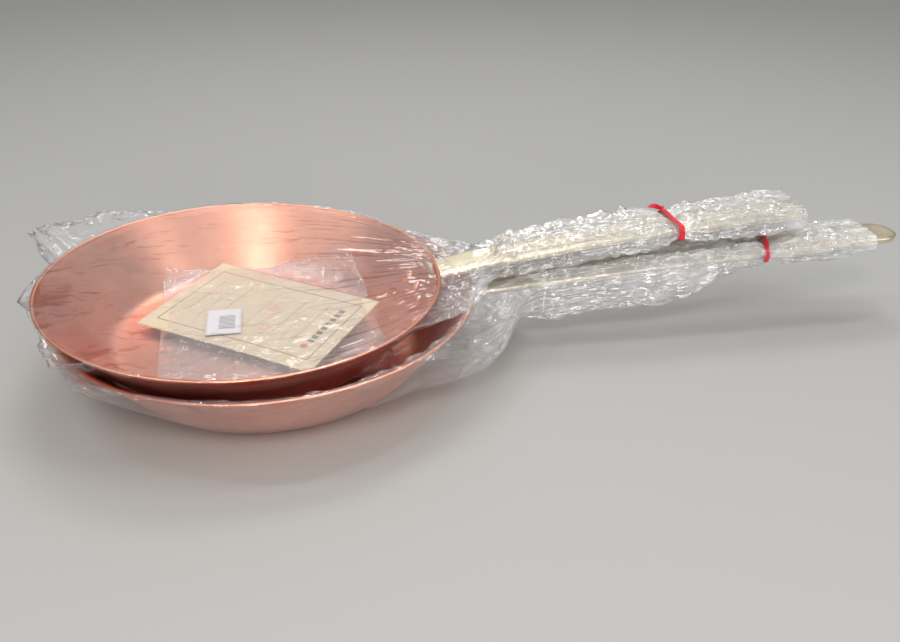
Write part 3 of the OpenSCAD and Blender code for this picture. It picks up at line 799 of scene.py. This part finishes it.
def bag_points(bag, rows_pan=170, rows_neck=70, rows_sleeve=150, cols=380):
    """A grid of points on one bag: closed round its pan, necked, then gathered on the handle."""
    pan = bag.pan
    lower = pan is LOWER
    clear = 0.6 * MM
    rim = pan.rim_r + 0.9 * MM
    x_close = pan.rim_r + NECK_L
    x_end = pan.rim_r + pan.handle_l - bag.tip_bare
    wide_neck = max(bag.neck_left, bag.neck_right)
    x_neck = rim * math.cos(wide_neck)
    xs = np.concatenate([
        -rim * np.cos(np.linspace(0, math.pi - wide_neck, rows_pan)),
        np.linspace(x_neck, x_close, rows_neck + 1)[1:],
        np.linspace(x_close, x_end, rows_sleeve + 1)[1:]])
    x = xs[:, None]
    th = (np.arange(cols) * 2 * math.pi / cols)[None, :]
    up = np.sin(th) >= 0
    half = np.where(th <= math.pi, th, 2 * math.pi - th)
    across = 0.55 * np.cos(half) + 0.45 * (1 - 2 * half / math.pi)
    share = np.abs(across)
    right = across < 0

    # width seen from above: round the rim, then drawn in to the handle on each side
    sleeve_a = pan.half_w(x) + 2.5 * MM

    def side_width(angle, bulge):
        x_from = rim * math.cos(angle)
        t = np.clip((x - x_from) / (x_close - x_from), 0, 1)
        drawn = rim * math.sin(angle) * (1 - t) + sleeve_a * t + bulge * np.sin(math.pi * t) * (1 - t)
        return np.where(x <= x_from, np.sqrt(np.maximum(rim ** 2 - x ** 2, 0)), drawn)

    right_bulge = 30 * MM if lower else 6 * MM
    wide = np.where(right, side_width(bag.neck_right, right_bulge), side_width(bag.neck_left, -4 * MM))
    y = wide * across
    rho = np.hypot(x, y)

    # the section round the pan
    handle = pan.handle_z(np.maximum(x, pan.rim_r))
    edge_z = pan.height + 0.4 * MM
    into = smooth(pan.rim_r - 12 * MM, x_close, x)
    side_z = edge_z * (1 - into) + (handle - HANDLE_T / 2) * into
    lobe = bump_at(x, pan.rim_r + 3 * MM, 26 * MM) * right * (20 * MM if lower else 7 * MM)
    side_z = side_z - lobe
    if bag.over_mouth:
        roof = edge_z - 3.5 * MM * (1 - np.clip(rho / rim, 0, 1) ** 2)
    else:
        lip = smooth(pan.rim_r - 3 * MM, pan.rim_r, rho)
        roof = (inner_z(pan, rho) + clear) * (1 - lip) + edge_z * lip
    roof = np.where(rho > pan.rim_r, edge_z - lobe * share ** 2, roof)
    over_handle = handle + 2 * MM - (handle + 2 * MM - side_z) * share ** 1.8
    top = roof * (1 - into) + over_handle * into
    slack = 4.5 * MM * bump_at(rho, pan.rim_r - 18 * MM, 16 * MM) if lower else 0
    floor = np.maximum(outer_z(pan, np.minimum(rho, pan.rim_r)) - clear - slack, 0.25 * MM)
    hang = np.interp(x, *zip(*bag.hang)) + 0 * y
    sling = hang + (side_z - hang) * share ** np.where(right & lower, 5.0, 2.4)
    bottom = np.where(x > 0.4 * pan.rim_r, np.minimum(floor, sling), floor)
    bottom = np.where((rho > pan.rim_r) & (x > 0), np.minimum(sling, side_z), bottom)
    pan_loop = np.stack([x + 0 * y, y, np.where(up, top, np.minimum(bottom, top))], -1)

    # the section gathered round the handle, hanging below it as far as the tie
    power = 0.55
    cu, su = np.cos(th), np.sin(th)
    mid = handle - HANDLE_T / 2
    tie_x = pan.rim_r + pan.handle_l - bag.tie_back
    pinch = 1 - 0.85 * bump_at(x, tie_x, 8 * MM)
    a = sleeve_a + bag.puff * 0.30 * pinch
    b = HANDLE_T / 2 + (2.0 * MM + bag.puff * 0.45) * pinch
    yy = a * np.sign(cu) * np.abs(cu) ** power
    zz = mid + b * np.sign(su) * np.abs(su) ** power
    drop = np.maximum(mid - np.interp(x, *zip(*bag.hang)), 0)
    drop = drop * (1 - smooth(tie_x - 80 * MM, tie_x - 4 * MM, x))
    below = np.clip(-su, 0, 1)
    limp = np.clip(drop / (20 * MM), 0, 1)
    zz = zz - drop * below ** 1.6
    yy = yy * (1 - 0.75 * below ** 1.4 * limp) - 9 * MM * below * limp
    sleeve_loop = np.stack([x + 0 * yy, yy, zz], -1)
    w = smooth(x_neck + 0.55 * (x_close - x_neck), x_close + 8 * MM, x)[..., None]
    p = pan_loop * (1 - w) + sleeve_loop * w

    # the bag's corners stand out past the rim
    turn = np.arctan2(y, x)
    for angle, width, reach, rise in bag.ears:
        away = (turn - angle + math.pi) % (2 * math.pi) - math.pi
        pull = np.maximum(1 - np.abs(away / width), 0) ** 0.9 * smooth(pan.rim_r - 26 * MM, pan.rim_r, rho)
        crumpled = 1 + 0.6 * creases(turn * 11, rho / 0.022, np.where(up, 0.0, 3.3), bag.seed + 50, 3)
        p[..., 0] += np.cos(turn) * pull * reach * crumpled
        p[..., 1] += np.sin(turn) * pull * reach * crumpled
        p[..., 2] += pull * rise * crumpled

    # wrinkles: long pleats that fan out from the neck, then crumple
    n = grid_normals(p)
    fan = smooth(-0.05 * pan.rim_r, x_neck + 10 * MM, x)
    gathered = smooth(x_neck - 15 * MM, x_close, x)
    pleat = creases(cu * 5.5, su * 5.5, x / 0.16, bag.seed, 3)
    pleat = pleat * 0.6 + creases(cu * 15, su * 15, x / 0.11, bag.seed + 5, 2) * 0.4
    broad = noise3(cu * 2.4, su * 2.4, x / 0.055, bag.seed + 9)
    q = p / 0.020
    crumple = creases(q[..., 0], q[..., 1], q[..., 2], bag.seed + 20, 3)
    q = p / 0.0075
    fine = creases(q[..., 0], q[..., 1], q[..., 2], bag.seed + 30, 2)
    q = p / 0.050
    large = creases(q[..., 0], q[..., 1], q[..., 2] * 0.3, bag.seed + 40, 2)
    patchy = smooth(0.0, 0.30, noise3(p[..., 0] / 0.05, p[..., 1] / 0.05, 0.7, bag.seed + 60))
    rim_crumple = smooth(pan.rim_r - 9 * MM, pan.rim_r, rho) * (x < x_neck)
    backed = (~up | (not bag.over_mouth)) & (rho < pan.rim_r - 6 * MM)
    ample = gathered * pinch * bag.puff / (6 * MM) * (1 - 0.85 * smooth(x_end - 34 * MM, x_end, x))
    d = (0.30 + 2.4 * fan + 3.2 * ample) * MM * pleat
    d += (0.2 + 4.6 * ample) * MM * broad
    d += (0.15 + 0.8 * patchy + 5.0 * ample + 2.2 * rim_crumple) * MM * crumple
    d += (0.03 + 0.12 * patchy + 0.06 * fan + 0.30 * gathered + 0.35 * rim_crumple) * MM * fine
    d += (0.9 + 2.2 * gathered * pinch) * MM * large
    if not bag.over_mouth:
        gap = up * bump_at(rho, pan.rim_r - 12 * MM, 10 * MM) * (y < 0)
        d += 7.0 * MM * gap * np.abs(crumple)
    outward = backed | (x > x_close)
    hug = np.where(backed, 0.75 if lower else 0.30, 0.9)
    lift = np.where(outward, np.abs(d) * hug + 0.15 * MM, d)
    p = p + n * lift[..., None]
    if lower:
        p[..., 2] = np.maximum(p[..., 2], FLOOR_CLEAR)
    return p


def bag_object(bag, mat):
    """One bag as a mesh that rides its pan's body."""
    p = bag_points(bag)
    rows, cols = p.shape[:2]
    ob = new_object(f"{bag.pan.side}_film", p.reshape(-1, 3), grid_faces(rows, cols, close_cols=True), mat,
                    bag.pan.matrix)
    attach(ob, bag.pan.body)
    return ob


def film_material(name, own, start, milk_share):
    """Thin clear film: see-through, glossy at its folds, milky where it is gathered.

    start is the distance along the handle where gathering begins; None is the same all over.
    milk_share is how much of the flat film is milky.
    """
    m = Nodes(name, own)
    tree = m.tree
    tree.nodes.remove(m.bsdf)
    v = m.place()
    drawn = m.place((0.22, 1, 1)) if start else v
    crease = m.noise(drawn, 210, 3, 0.65, 0.5)
    fold = m.math("ABSOLUTE", m.math("SUBTRACT", crease, 0.5))
    broad = m.noise(m.place((0.45, 1, 1)) if start else v, 48, 3, 0.55, 0.7)
    big = m.math("ABSOLUTE", m.math("SUBTRACT", broad, 0.5))
    sep = m.add("ShaderNodeSeparateXYZ")
    m.link(v, sep.inputs[0])
    along = sep.outputs[0]
    if start:
        veil = m.span(along, start - 0.08, start + 0.02, 0.0, 1.0)
        loose = m.span(along, start, start + 0.07, 0.0, 1.0)
        wad = m.span(along, start + 0.08, start + 0.17, 0.0, 1.0)
    else:
        veil, loose, wad = (m.span(along, -1, 1, level, level) for level in (0.3, 0.4, 0.0))
    height = m.math("ADD", m.math("MULTIPLY", fold, m.math("ADD", m.math("MULTIPLY", loose, 0.45), 0.05)),
                    m.math("MULTIPLY", big, m.math("ADD", m.math("MULTIPLY", loose, 1.7), 0.26)))
    normal = m.bump(height, 0.6, 0.004)
    facing = m.add("ShaderNodeLayerWeight")
    facing.inputs["Blend"].default_value = 0.5
    m.link(normal, facing.inputs["Normal"])
    rim = m.math("POWER", facing.outputs["Facing"], 3.5)
    reflect = m.math("ADD", m.math("MULTIPLY", rim, 0.80),
                     m.math("ADD", m.math("MULTIPLY", m.math("ADD", loose, wad), 0.10), 0.08))
    clear = m.add("ShaderNodeBsdfTransparent")
    clear.inputs[0].default_value = (0.985, 0.985, 0.99, 1)
    gloss = m.add("ShaderNodeBsdfGlossy")
    gloss.inputs["Roughness"].default_value = 0.055
    m.link(normal, gloss.inputs["Normal"])
    milk = m.add("ShaderNodeBsdfDiffuse")
    milk.inputs[0].default_value = (0.90, 0.91, 0.93, 1)
    m.link(normal, milk.inputs["Normal"])
    a = m.add("ShaderNodeMixShader")
    m.link(reflect, a.inputs[0])
    m.link(clear.outputs[0], a.inputs[1])
    m.link(gloss.outputs[0], a.inputs[2])
    b = m.add("ShaderNodeMixShader")
    cloud = m.span(m.noise(v, 60, 3, 0.6), 0.3, 0.7, 0.55, 1.45)
    share = m.math("ADD", m.math("MULTIPLY", veil, 0.05),
                   m.math("ADD", m.math("MULTIPLY", loose, 0.03), m.math("MULTIPLY", wad, 0.11)))
    m.link(m.math("MULTIPLY", m.math("ADD", share, milk_share), cloud), b.inputs[0])
    m.link(a.outputs[0], b.inputs[1])
    m.link(milk.outputs[0], b.inputs[2])
    m.link(b.outputs[0], m.out.inputs["Surface"])
    return m.mat


# A bag's flat size, and its area a side if it narrows to about 0.11 m along the handle: that cut is an
# assumption, and a plain rectangle of this size would be 0.192 square metres
GRADIENTS = rng.normal(size=(1024, 3))
GRADIENTS /= np.linalg.norm(GRADIENTS, axis=1, keepdims=True)
CARD_SPIN = Matrix.Rotation(math.radians(CARD_TURN), 4, "Z")
LABEL_PLACE = (card_plane(1.5 * MM) @ Matrix.Translation((*LABEL_AT, 0))
               @ Matrix.Rotation(math.radians(2), 4, "Z"))

make_camera()
make_stage()
# Enough light bounces for stacked film and for the narrow gap between the pans
cycles = bpy.context.scene.cycles
cycles.max_bounces = 16
cycles.glossy_bounces = 12
cycles.transparent_max_bounces = 32

lower_bag = Bag(
    pan=LOWER, over_mouth=False, tip_bare=26 * MM, tie_back=106 * MM, puff=5 * MM, seed=3,
    necks=(math.radians(36), math.radians(51)),
    hang=[(-1, 0), (0.085, 0), (0.118, 0.003), (0.150, 0.012), (0.175, 0.022), (0.233, 0.0285),
          (0.311, 0.032), (0.37, 0.052), (0.5, 0.07)],
    ears=[(math.radians(203), 0.24, 7 * MM, 1 * MM), (math.radians(226), 0.30, 9 * MM, 1 * MM),
          (math.radians(150), 0.3, 8 * MM, 0)])
upper_bag = Bag(
    pan=UPPER, over_mouth=True, tip_bare=9 * MM, tie_back=106 * MM, puff=7 * MM, seed=41,
    necks=(math.radians(33), math.radians(40)),
    hang=[(-1, 0), (0.09, 0.006), (0.118, 0.022), (0.150, 0.036), (0.185, 0.050), (0.24, 0.062),
          (0.3, 0.072), (0.5, 0.09)],
    ears=[(math.radians(155), 0.22, 26 * MM, 5 * MM), (math.radians(138), 0.36, 20 * MM, 6 * MM),
          (math.radians(186), 0.16, 7 * MM, -4 * MM), (math.radians(222), 0.16, 7 * MM, -5 * MM)])
red = tie_material()
for bag, skew, nodes in ((lower_bag, math.radians(20), ("lower_bag", "lower_bag_sleeve")),
                         (upper_bag, 0.0, ("upper_bag", "upper_bag_top", "upper_bag_sleeve"))):
    pan = bag.pan
    copper = copper_material(pan)
    pan_mesh(pan, copper)
    handle_mesh(pan, brass_material(pan))
    for spot in ("left", "middle", "right"):
        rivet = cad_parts[f"{pan.side}_rivet_{spot}"]
        rivet.data.materials.clear()
        rivet.data.materials.append(copper)
    milk_share = 0.07 if pan is LOWER else 0.03
    ob = bag_object(bag, film_material(f"{pan.side}_film", pan.matrix, pan.rim_r - 20 * MM, milk_share))
    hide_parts(*nodes)
    tie_object(bag, skew, red)

card = slab("paper_card", (CARD_L, CARD_W, CARD_T), (57, 41), card_curl, card_material(),
            card_plane(0) @ CARD_SPIN)
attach(card, "card")
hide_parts("card")
sleeve_object(film_material("clear_sleeve", flat_place, None, 0.06))
label = slab("price_label", (LABEL_L, LABEL_W, LABEL_T), (13, 17),
             lambda x, y: 0.2 * MM * np.sin(y / (6 * MM)), label_material(), LABEL_PLACE)
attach(label, "card")
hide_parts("label")
